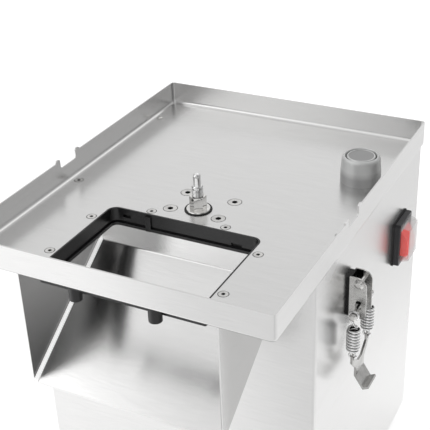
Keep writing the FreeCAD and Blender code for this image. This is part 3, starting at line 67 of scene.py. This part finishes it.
class Shader:
    """A material's node tree, with short calls for the few node kinds that the finishes use."""

    def __init__(self, name):
        self.material = bpy.data.materials.new(name)
        self.material.use_nodes = True
        self.tree = self.material.node_tree
        self.surface = self.tree.nodes["Principled BSDF"]
        coordinates = self.tree.nodes.new("ShaderNodeTexCoord")
        self.place = coordinates.outputs["Object"]

    def link(self, value, socket):
        if isinstance(value, bpy.types.NodeSocket):
            self.tree.links.new(value, socket)
        else:
            socket.default_value = value

    def math(self, operation, *values):
        node = self.tree.nodes.new("ShaderNodeMath")
        node.operation = operation
        for value, socket in zip(values, node.inputs):
            self.link(value, socket)
        return node.outputs[0]

    def scaled(self, x, y, z):
        """Object coordinates stretched along each axis; a factor may be a socket."""
        split = self.tree.nodes.new("ShaderNodeSeparateXYZ")
        self.link(self.place, split.inputs[0])
        join = self.tree.nodes.new("ShaderNodeCombineXYZ")
        for index, factor in enumerate((x, y, z)):
            self.link(self.math("MULTIPLY", split.outputs[index], factor), join.inputs[index])
        return join.outputs[0]

    def noise(self, where, scale, detail=2.0, rough=0.5):
        node = self.tree.nodes.new("ShaderNodeTexNoise")
        self.link(where, node.inputs["Vector"])
        node.inputs["Scale"].default_value = scale
        node.inputs["Detail"].default_value = detail
        node.inputs["Roughness"].default_value = rough
        return node.outputs["Fac"]

    def spread(self, value, low, high, source=(0.3, 0.7)):
        """The value, mapped from the source range to low..high."""
        node = self.tree.nodes.new("ShaderNodeMapRange")
        self.link(value, node.inputs["Value"])
        for name, number in zip(("From Min", "From Max", "To Min", "To Max"), (*source, low, high)):
            node.inputs[name].default_value = number
        return node.outputs["Result"]

    def blend(self, factor, first, second):
        node = self.tree.nodes.new("ShaderNodeMix")
        node.data_type = "RGBA"
        self.link(factor, node.inputs["Factor"])
        self.link(first, node.inputs["A"])
        self.link(second, node.inputs["B"])
        return node.outputs["Result"]

    def bump(self, height, strength, distance, base=None):
        node = self.tree.nodes.new("ShaderNodeBump")
        node.inputs["Strength"].default_value = strength
        node.inputs["Distance"].default_value = distance
        self.link(height, node.inputs["Height"])
        if base is not None:
            self.link(base, node.inputs["Normal"])
        self.tree.links.new(node.outputs["Normal"], self.surface.inputs["Normal"])
        return node.outputs["Normal"]

    def along(self, line):
        """Object coordinate along a unit vector."""
        dot = self.tree.nodes.new("ShaderNodeVectorMath")
        dot.operation = "DOT_PRODUCT"
        self.link(self.place, dot.inputs[0])
        dot.inputs[1].default_value = line
        return dot.outputs["Value"]

    def between(self, line, low, high, soft=0.00004):
        """1 where the size of the object coordinate along a line lies between two values, else 0."""
        size = self.math("ABSOLUTE", self.along(line))
        above = self.spread(size, 0.0, 1.0, (low - soft, low + soft))
        below = self.spread(size, 1.0, 0.0, (high - soft, high + soft))
        return self.math("MULTIPLY", above, below)

    def reach(self, x, y, offset=0.0):
        """Distance from an upright axis at x (either sign of X) and at y plus or minus the offset."""
        from_y = self.math("ABSOLUTE", self.math("SUBTRACT", self.along(Y), y))
        far_x = self.math("SUBTRACT", self.math("ABSOLUTE", self.along(X)), x)
        far_y = self.math("SUBTRACT", from_y, offset)
        return self.math("SQRT", self.math("ADD", self.math("MULTIPLY", far_x, far_x),
                                           self.math("MULTIPLY", far_y, far_y)))

    def shaded(self, colour, *masks, dark):
        """The colour, darkened where every mask is 1."""
        both = masks[0]
        for mask in masks[1:]:
            both = self.math("MULTIPLY", both, mask)
        return self.blend(both, colour, grey(dark))

    def set(self, **values):
        for name, value in values.items():
            self.link(value, self.surface.inputs[name.replace("_", " ")])


def grey(value):
    return (value, value, value, 1.0)


X, Y, Z = (1.0, 0.0, 0.0), (0.0, 1.0, 0.0), (0.0, 0.0, 1.0)
SHEET_TINT = (1.0, 0.997, 0.992)
TURNED_TINT = (1.0, 0.99, 0.97)
EDGE = 0.0002  # metres over which a mask fades at its border
CHEEK_FADE = (0.235, 0.305)  # heights over which the shade inside the chute's cheeks fades out


def sheet_steel(name, shine, grain=0.02, rough=(0.16, 0.24), wave=0.0006, smear=0.6, shaded_hole_walls=None,
                fold_highlight=None):
    """Stainless sheet, its grain across the front and along the sides, with faint smears and waviness.

    Walls between the hole-wall heights get painted shade. Along the fold, where the plane of a slope (its
    normal and offset) meets a cheek at X, a line of the given width gets a painted highlight and a faint glow
    of painted light, and the cheek's inner face gets painted shade low down.
    """
    shader = Shader(name)
    geometry = shader.tree.nodes.new("ShaderNodeNewGeometry")
    split = shader.tree.nodes.new("ShaderNodeSeparateXYZ")
    shader.link(geometry.outputs["Normal"], split.inputs[0])
    sideways = shader.math("GREATER_THAN", shader.math("ABSOLUTE", split.outputs[0]), 0.5)
    along = shader.spread(sideways, 1.0, 0.02, (0.0, 1.0))
    hairs = shader.noise(shader.scaled(0.02, along, 1.0), 2600, 3.0, 0.7)
    fine = shader.noise(shader.scaled(0.05, along, 1.0), 900, 2.0)
    smears = shader.noise(shader.place, 7, 4.0, 0.55)
    bright = [shine * channel for channel in SHEET_TINT]
    dull = [value * 0.955 for value in bright]
    colour = shader.blend(shader.spread(fine, 0.0, 1.0), (*dull, 1.0), (*bright, 1.0))
    if shaded_hole_walls:
        # Painted shade on the hole walls between the given heights.
        colour = shader.shaded(colour, shader.between(Z, *shaded_hole_walls), dark=0.03)
    rough_skin, metal = shader.spread(smears, *rough), 1.0
    if fold_highlight:
        normal, offset, cheek, size = fold_highlight
        # Painted highlight along the fold: near-white, rougher, less metallic, and glowing a little with
        # painted light.
        highlight_line = shader.math("MULTIPLY", shader.between(normal, offset - 5 * EDGE, offset + size, EDGE),
                           shader.between(X, cheek - size, cheek + EDGE, EDGE))
        colour = shader.blend(highlight_line, colour, grey(0.97))
        rough_skin = shader.math("ADD", rough_skin, shader.math("MULTIPLY", highlight_line, 0.35))
        metal = shader.math("SUBTRACT", 1.0, shader.math("MULTIPLY", highlight_line, 0.9))
        # Painted shade on the cheek's inner face, strongest low down and fading out upwards.
        low_part = shader.spread(shader.along(Z), 0.62, 0.0, CHEEK_FADE)
        cheek_shade = shader.math("MULTIPLY", shader.between(X, cheek - EDGE, cheek + 2 * EDGE), low_part)
        colour = shader.shaded(colour, cheek_shade, shader.math("SUBTRACT", 1.0, highlight_line), dark=0.05)
        shader.set(Emission_Color=shader.blend(highlight_line, grey(0.0), grey(1.0)), Emission_Strength=0.5)
    shader.set(Metallic=metal, Base_Color=colour)
    shader.set(Roughness=rough_skin, Anisotropic=smear)
    across = shader.tree.nodes.new("ShaderNodeCombineXYZ")
    across.inputs[1].default_value, across.inputs[2].default_value = 0.25, 1.0
    shader.set(Tangent=across.outputs[0])
    sway = shader.bump(shader.noise(shader.place, 9, 1.0), 0.35, wave)
    shader.bump(hairs, grain, 0.0004, sway)
    return shader.material


def bright_steel(name, shine, rough, bump=0.05, shadows=(), metal=1.0, dark=0.02):
    """Turned, rolled or drawn steel with small marks and a little uneven polish.

    shadows lists its dark recesses, each as limits (line, low, high) that all hold there.
    """
    shader = Shader(name)
    marks = shader.noise(shader.place, 900, 3.0, 0.6)
    patches = shader.noise(shader.place, 120, 3.0)
    bright = [shine * channel for channel in TURNED_TINT]
    dull = [value * 0.82 for value in bright]
    colour = shader.blend(shader.spread(patches, 0.0, 1.0, (0.35, 0.6)), (*dull, 1.0), (*bright, 1.0))
    for limits in shadows:
        colour = shader.shaded(colour, *[shader.between(*limit) for limit in limits], dark=dark)
    shader.set(Metallic=metal, Base_Color=colour)
    shader.set(Roughness=shader.spread(marks, *rough))
    shader.bump(marks, bump, 0.0003)
    return shader.material


def cast_metal(name, shade, rough=(0.45, 0.62), grain=700, bump=0.35):
    """Sand-cast or die-cast metal with a fine granular skin."""
    shader = Shader(name)
    skin = shader.noise(shader.place, grain, 4.0, 0.65)
    patches = shader.noise(shader.place, 30, 3.0)
    shader.set(Metallic=0.9, Base_Color=shader.blend(
        shader.spread(patches, 0.0, 1.0), grey(shade * 0.8), grey(shade)))
    shader.set(Roughness=shader.spread(skin, *rough))
    shader.bump(skin, bump, 0.0004)
    return shader.material


def moulded(name, dark, light, rough=(0.3, 0.42), bump=0.12):
    """Moulded plastic or rubber with a spark-eroded texture and slight colour drift."""
    shader = Shader(name)
    texture = shader.noise(shader.place, 1500, 2.0, 0.6)
    drift = shader.noise(shader.place, 45, 3.0)
    shader.set(Base_Color=shader.blend(shader.spread(drift, 0.0, 1.0), (*dark, 1.0), (*light, 1.0)))
    shader.set(Roughness=shader.spread(texture, *rough))
    shader.bump(texture, bump, 0.0002)
    return shader.material


# ---------------------------------------------------------------- finishes

SHEET = 0.0015
TRAY_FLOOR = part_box("stud_washer")[0].z
TRAY_UNDER = TRAY_FLOOR - SHEET
# The tray's hole walls, just under its floor, get painted shade.
tray_steel = sheet_steel("tray_satin_steel", 0.78, rough=(0.2, 0.27), smear=0.3,
                         shaded_hole_walls=(TRAY_UNDER + EDGE, TRAY_FLOOR - EDGE / 2))
SLOPE_FOOT, SLOPE_TOP = Vector((0.0, -0.169, 0.216)), Vector((0.0, -0.053, 0.294))
SLOPE_OUT = (SLOPE_TOP - SLOPE_FOOT).normalized().cross(Vector((-1.0, 0.0, 0.0)))
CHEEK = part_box("discharge_chute")[1].x - SHEET
FOLD_WIDTH = 0.0028
# The chute's fold between slope and cheek gets a painted highlight.
chute_steel = sheet_steel("chute_brushed_steel", 0.8, grain=0.05, smear=0.85,
                          fold_highlight=(SLOPE_OUT, SLOPE_OUT.dot(SLOPE_FOOT), CHEEK, FOLD_WIDTH))
body_steel = sheet_steel("body_polished_steel", 0.77, grain=0.0, rough=(0.25, 0.28), wave=0.0, smear=0.3)
base_steel = cast_metal("galvanised_sheet", 0.6, rough=(0.35, 0.5), grain=90, bump=0.03)
frame_plastic = moulded("feed_frame_plastic", (0.006, 0.006, 0.0065), (0.012, 0.012, 0.0125),
                        rough=(0.26, 0.36))
fasteners = bright_steel("fastener_steel", 0.74, rough=(0.14, 0.3))
SCREW_LENGTH = 0.03
# Painted shade on the screws below the tray floor, down in their holes.
deck_screws = bright_steel("deck_screw_steel", 0.74, rough=(0.12, 0.25), dark=0.25, shadows=[
    [(Z, TRAY_UNDER - SCREW_LENGTH, TRAY_FLOOR - 2 * EDGE)]])
stud_chrome = bright_steel("stud_bright_steel", 0.86, rough=(0.05, 0.13))
latch_steel = bright_steel("latch_pressed_steel", 0.72, rough=(0.12, 0.26), bump=0.08)
hook_steel = bright_steel("latch_hook_steel", 0.52, rough=(0.16, 0.28), bump=0.08)
bracket_low, bracket_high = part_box("latch_bracket_right")
LATCH_Y = -(bracket_low.y + bracket_high.y) / 2  # without its sign, as the masks take it
BRACKET_BASE = 0.0024
BRACKET_CHANNEL = 0.0095
BRACKET_HALF_GAP = 0.0066
# Painted shade on the latch brackets: on the base strip against the body panel and inside the channel.
bracket_steel = bright_steel("latch_bracket_steel", 0.66, rough=(0.2, 0.34), bump=0.08, metal=0.85, shadows=[
    [(X, bracket_low.x - 0.001, bracket_low.x + BRACKET_BASE)],
    [(Y, LATCH_Y - BRACKET_HALF_GAP, LATCH_Y + BRACKET_HALF_GAP),
     (X, bracket_low.x, bracket_low.x + BRACKET_CHANNEL),
     (Z, bracket_low.z + 0.004, bracket_high.z + 0.001)]])
spring_steel = bright_steel("spring_wire", 0.86, rough=(0.06, 0.14))
BAR_X = sum(corner.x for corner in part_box("latch_bar_right")) / 2
COIL_RADIUS = 0.0051
COIL_OFFSET = 0.018  # of each latch spring from the middle of its latch


def coil_finish():
    """Bright spring wire, with painted shade on its inner side within the winding."""
    shader = Shader("latch_coil_wire")
    marks = shader.noise(shader.place, 900, 3.0, 0.6)
    # Painted shade where the wire faces the coil's axis, along the wound part.
    inside = shader.spread(shader.reach(BAR_X, -LATCH_Y, COIL_OFFSET), 1.0, 0.0,
                           (COIL_RADIUS - 0.0003, COIL_RADIUS + 0.0003))
    coil_low, coil_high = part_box("latch_springs_right")
    foot_eye, bar_eye = 0.0095, 0.0172
    wound = shader.between(Z, coil_low.z + foot_eye, coil_high.z - bar_eye)
    shader.set(Metallic=1.0, Base_Color=shader.shaded(grey(0.88), inside, wound, dark=0.03))
    shader.set(Roughness=shader.spread(marks, 0.06, 0.14))
    return shader.material


coil_steel = coil_finish()
machined = bright_steel("machined_steel", 0.62, rough=(0.2, 0.34))
rubber = moulded("black_rubber", (0.008, 0.008, 0.008), (0.016, 0.016, 0.016), rough=(0.5, 0.7))
switch_black = moulded("switch_plastic", (0.012, 0.012, 0.015), (0.02, 0.02, 0.023), rough=(0.2, 0.3),
                       bump=0.05)
castings = cast_metal("cast_aluminium", 0.62)
laminations = cast_metal("lamination_iron", 0.2, grain=1400)
can_plastic = moulded("capacitor_plastic", (0.62, 0.61, 0.57), (0.7, 0.69, 0.65))
terminal_plastic = moulded("terminal_plastic", (0.66, 0.6, 0.46), (0.74, 0.68, 0.54))


def button_finish():
    """Grey satin metal, with painted shade towards the foot, and darker on the pressed face."""
    foot_band, disc_radius = 0.0105, 0.0112
    low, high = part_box("interlock_housing")
    shader = Shader("button_grey_metal")
    speckle = shader.noise(shader.place, 1800, 2.0, 0.6)
    drift = shader.noise(shader.place, 40, 2.0)
    tone = shader.blend(
        shader.spread(drift, 0.0, 1.0), (0.66, 0.665, 0.66, 1.0), (0.72, 0.725, 0.72, 1.0))
    # Painted shade on the lower part of the housing.
    tone = shader.shaded(tone, shader.between(Z, low.z, TRAY_FLOOR + foot_band, 0.0032), dark=0.42)
    middle = (low + high) / 2
    disc = shader.spread(shader.reach(middle.x, middle.y), 1.0, 0.0, (disc_radius, disc_radius + 0.0003))
    tone = shader.shaded(tone, disc, dark=0.34)
    shader.set(Metallic=0.5, Base_Color=tone)
    shader.set(Roughness=shader.spread(speckle, 0.36, 0.48))
    shader.bump(speckle, 0.06, 0.0002)
    return shader.material


def rocker_finish():
    """Translucent red plastic, grey along its top edge, glowing a little with painted light."""
    shader = Shader("rocker_red_plastic")
    cloud = shader.noise(shader.place, 160, 2.0)
    red = shader.blend(shader.spread(cloud, 0.0, 1.0), (0.8, 0.03, 0.025, 1.0), (0.9, 0.07, 0.055, 1.0))
    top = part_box("switch_rocker")[1].z
    edge = shader.between(Z, top - 0.0012, top + 0.001, 0.0004)
    shader.set(Base_Color=shader.shaded(red, edge, dark=0.45), Roughness=0.22)
    # The glow is painted light.
    shader.set(Emission_Color=shader.shaded((0.95, 0.1, 0.08, 1.0), edge, dark=0.3), Emission_Strength=0.26)
    return shader.material


def cover_finish():
    """Thin milky plastic film: what lies behind it shows through."""
    shader = Shader("clear_cover_plastic")
    haze = shader.noise(shader.place, 300, 2.0)
    weight = shader.tree.nodes.new("ShaderNodeLayerWeight")
    weight.inputs["Blend"].default_value = 0.45
    shader.set(Base_Color=(0.86, 0.87, 0.87, 1.0), Roughness=shader.spread(haze, 0.12, 0.22))
    shader.set(Alpha=shader.spread(weight.outputs["Facing"], 0.08, 0.6, (0.2, 0.7)))
    return shader.material


def threaded_steel():
    """Bright stud with painted shade in the thread roots between the sleeve and the plain tip."""
    shader = Shader("stud_threaded_steel")
    marks = shader.noise(shader.place, 900, 3.0, 0.6)
    pitch, thread_top = 0.00125, 0.0225
    turn = shader.math("FRACT", shader.math("MULTIPLY", shader.along(Z), 1 / pitch))
    # Painted shade in each thread root.
    root = shader.spread(turn, 1.0, 0.0, (0.18, 0.4))
    thread = shader.math("MULTIPLY", root, shader.between(Z, TRAY_FLOOR, TRAY_FLOOR + thread_top))
    shader.set(Metallic=1.0, Base_Color=shader.shaded(grey(0.86), thread, dark=0.04))
    shader.set(Roughness=shader.spread(marks, 0.05, 0.13))
    shader.bump(marks, 0.05, 0.0003)
    return shader.material


FINISH = {
    "tray_steel": tray_steel, "chute_steel": chute_steel, "body_steel": body_steel, "base_steel": base_steel,
    "frame_plastic": frame_plastic, "fastener_steel": fasteners, "stud_steel": stud_chrome,
    "black_rubber": rubber, "button_metal": button_finish(), "spring_steel": spring_steel,
    "latch_steel": latch_steel, "switch_black": switch_black, "rocker_red": rocker_finish(),
    "cover_clear": cover_finish(), "cast_metal": castings, "machined_steel": machined,
    "motor_iron": laminations, "capacitor_case": can_plastic, "terminal_plastic": terminal_plastic,
}
SPECIAL = {"feed_frame_screws": deck_screws, "drive_housing_screws": deck_screws, "tray_screws": deck_screws,
           "latch_bracket_right": bracket_steel, "latch_bracket_left": bracket_steel,
           "latch_hook_right": hook_steel, "latch_hook_left": hook_steel, "hold_down_stud": threaded_steel()}
for part in frame["record"]["subparts"]:
    for slot in nodes[part["node"]].material_slots:
        slot.material = SPECIAL.get(part["node"], FINISH[part["material_slot"]])

# ---------------------------------------------------------------- wound springs


def tube(name, path, radius, material, sides=12):
    """A closed round wire along a list of points, its section carried without twist."""
    verts, faces = [], []
    side = Vector((0, 1, 0))
    for index, point in enumerate(path):
        ahead = path[min(index + 1, len(path) - 1)] - path[max(index - 1, 0)]
        ahead.normalize()
        side = (side - ahead * side.dot(ahead)).normalized()
        up = ahead.cross(side)
        for step in range(sides):
            angle = 2 * math.pi * step / sides
            verts.append(point + radius * (math.cos(angle) * side + math.sin(angle) * up))
    for index in range(len(path) - 1):
        for step in range(sides):
            a, b = index * sides + step, index * sides + (step + 1) % sides
            faces.append((a, b, b + sides, a + sides))
    faces.append(tuple(range(sides))[::-1])
    faces.append(tuple(range(len(verts) - sides, len(verts))))
    mesh = bpy.data.meshes.new(name)
    mesh.from_pydata(verts, [], faces)
    mesh.materials.append(material)
    mesh.polygons.foreach_set("use_smooth", [True] * len(mesh.polygons))
    piece = bpy.data.objects.new(name, mesh)
    scene.collection.objects.link(piece)
    return piece


def smooth_path(points):
    """The path with each corner cut off by two points."""
    cut = [points[0]]
    for a, b in zip(points, points[1:]):
        cut += [a.lerp(b, 0.25), a.lerp(b, 0.75)]
    return cut + [points[-1]]


def eye(x, y, z, radius, start):
    """Points of an open eye in an XZ plane: 330 degrees, from a start angle measured from straight below."""
    angles = [math.radians(start + 330 * step / 16) for step in range(17)]
    return [Vector((x + radius * math.sin(angle), y, z - radius * math.cos(angle))) for angle in angles]


def latch_spring(name, x, y, top, foot, side):
    """Extension spring: eye round the bar, turns that widen from each end, eye through the hook's ear."""
    wire, turns, widening = 0.0011, 8.5, 1.2
    bar_eye, ear_eye = 0.0037, 0.0029
    coil_top, coil_foot = top - 0.0115, foot + 0.0048
    path = eye(x, y, top, bar_eye, -60)[::-1]
    path.append(Vector((x, y, coil_top + 0.0022)))
    steps = int(turns * 28)
    for step in range(steps + 1):
        share = step / steps
        ease = min(1.0, share * turns / widening, (1 - share) * turns / widening)
        radius = COIL_RADIUS * (0.45 + 0.55 * math.sin(ease * math.pi / 2))
        angle = 2 * math.pi * turns * share
        path.append(Vector((x + side * radius * math.cos(angle), y + radius * math.sin(angle),
                            coil_top + (coil_foot - coil_top) * share)))
    path.append(Vector((x, y, coil_foot - 0.0012)))
    path += eye(x, y, foot, ear_eye, 120)
    return tube(name, smooth_path(path), wire, coil_steel)


for side, label in ((1, "right"), (-1, "left")):
    bar_low, bar_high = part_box("latch_bar_" + label)
    bar = (bar_low + bar_high) / 2
    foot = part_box("latch_springs_" + label)[0].z + 0.0042  # middle of the eye in the hook's ear
    for end in (-1, 1):
        piece = latch_spring(f"latch_spring_{label}_{end + 2}", bar.x, bar.y + end * COIL_OFFSET, bar.z, foot,
                             side)
        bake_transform(piece)
    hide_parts("latch_springs_" + label)


def return_spring():
    """Compression spring under the interlock button's plunger, with closed end turns."""
    low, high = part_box("interlock_spring")
    middle, wire, turns, closed = (low + high) / 2, 0.0006, 7.5, 0.8
    radius, start, end = (high.x - low.x) / 2 - wire, low.z + wire, high.z - wire
    path = []
    for step in range(int(turns * 24) + 1):
        turn = step / 24
        share = min(1.0, max(0.0, (turn - closed) / (turns - 2 * closed)))
        angle = 2 * math.pi * turn
        path.append(Vector((middle.x + radius * math.cos(angle), middle.y + radius * math.sin(angle),
                            start + (end - start) * share)))
    piece = tube("return_spring", path, wire, spring_steel, 8)
    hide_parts("interlock_spring")
    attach(piece, "body")
    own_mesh(piece)


return_spring()

# ---------------------------------------------------------------- floor, light, camera

bpy.ops.mesh.primitive_plane_add(size=12, location=(0, 0, -0.0005))
floor = bpy.context.object
floor.name = "studio_floor"
paper = Shader("floor_paper")
fibres = paper.noise(paper.place, 60, 3.0)
BACK_RIGHT, FRONT_RIGHT = (0.894, 0.447, 0.0), (0.78, -0.625, 0.0)
# The floor glows, with painted shade to the right of the machine and in front of it towards the right.
at_side = paper.math("MULTIPLY", paper.spread(paper.along(BACK_RIGHT), 0.0, 0.28, (0.26, 0.5)),
                     paper.spread(paper.along(X), 0.0, 1.0, (0.12, 0.2)))
in_front = paper.math("MULTIPLY", paper.spread(paper.along(Y), 1.0, 0.0, (-0.26, -0.12)),
                      paper.spread(paper.along(FRONT_RIGHT), 0.0, 0.3, (0.12, 0.235)))
falloff = paper.math("MULTIPLY", paper.math("SUBTRACT", 1.0, at_side), paper.math("SUBTRACT", 1.0, in_front))
sheet = paper.blend(paper.spread(fibres, 0.0, 1.0), grey(0.9), grey(0.93))
paper.set(Base_Color=paper.blend(falloff, grey(0.0), sheet), Roughness=0.9)
paper.set(Emission_Color=paper.blend(falloff, grey(0.0), grey(1.0)), Emission_Strength=0.54)
floor.data.materials.append(paper.material)

world = bpy.data.worlds.new("studio")
scene.world = world
world.use_nodes = True
sky = world.node_tree
background = sky.nodes["Background"]
direction = sky.nodes.new("ShaderNodeTexCoord").outputs["Generated"]


def sky_math(operation, *values):
    node = sky.nodes.new("ShaderNodeMath")
    node.operation = operation
    for value, socket in zip(values, node.inputs):
        if isinstance(value, bpy.types.NodeSocket):
            sky.links.new(value, socket)
        else:
            socket.default_value = value
    return node.outputs[0]


def patch(toward, start, full, amount):
    """1, turning into the amount within a soft-edged patch of the room round one direction."""
    dot = sky.nodes.new("ShaderNodeVectorMath")
    dot.operation = "DOT_PRODUCT"
    sky.links.new(direction, dot.inputs[0])
    dot.inputs[1].default_value = Vector(toward).normalized()
    ramp = sky.nodes.new("ShaderNodeMapRange")
    ramp.interpolation_type = "SMOOTHSTEP"
    sky.links.new(dot.outputs["Value"], ramp.inputs["Value"])
    for name, number in zip(("From Min", "From Max", "To Min", "To Max"), (start, full, 1.0, amount)):
        ramp.inputs[name].default_value = number
    return ramp.outputs["Result"]


ROOM_LEVEL = 0.87
ROOM_PATCHES = (
    ((1.0, 0.35, 0.25), 0.05, 0.8, 0.5),
    ((0.5, -0.8, 0.25), 0.62, 0.7, 0.5),
    ((0.42, -0.77, 0.48), 0.93, 0.99, 1.9),
    ((-0.8, 0.15, 0.15), 0.86, 0.96, 0.5),
    ((0.25, 0.6, 0.75), 0.86, 0.97, 1.9),
    ((-0.45, -0.75, 0.45), 0.85, 0.97, 1.35),
    ((-0.38, 0.68, 0.63), 0.93, 0.99, 0.85),
    ((-0.45, 0.82, 0.36), 0.93, 0.99, 1.12),
)
room = ROOM_LEVEL
for values in ROOM_PATCHES:
    room = sky_math("MULTIPLY", room, patch(*values))
sky.links.new(room, background.inputs["Strength"])
background.inputs["Color"].default_value = (1.0, 1.0, 1.0, 1.0)


def softbox(name, at, target, size, watts):
    light = bpy.data.lights.new(name, "AREA")
    light.shape = "RECTANGLE"
    light.size, light.size_y = size
    light.energy = watts
    lamp = bpy.data.objects.new(name, light)
    lamp.location = at
    lamp.rotation_euler = (Vector(target) - Vector(at)).to_track_quat("-Z", "Y").to_euler()
    scene.collection.objects.link(lamp)


softbox("key_softbox", (-1.6, -1.2, 2.2), (0, 0, 0.3), (1.2, 0.8), 2)

CAMERA_PLACE = (0.36965, -0.68572, 0.74351)
RIGHT = Vector((0.88981, 0.45481, -0.03728))
UP = Vector((-0.19195, 0.44716, 0.87362))
FORWARD = Vector((-0.41399, 0.77020, -0.48519))
camera_data = bpy.data.cameras.new("camera")
camera_data.lens = 82.65
camera_data.sensor_width = 36
camera_data.clip_start = 0.01
camera = bpy.data.objects.new("camera", camera_data)
aim = Matrix((RIGHT, UP, -FORWARD)).transposed().to_4x4()
camera.matrix_world = Matrix.Translation(CAMERA_PLACE) @ aim
scene.collection.objects.link(camera)
scene.camera = camera
scene.view_settings.view_transform = "Standard"
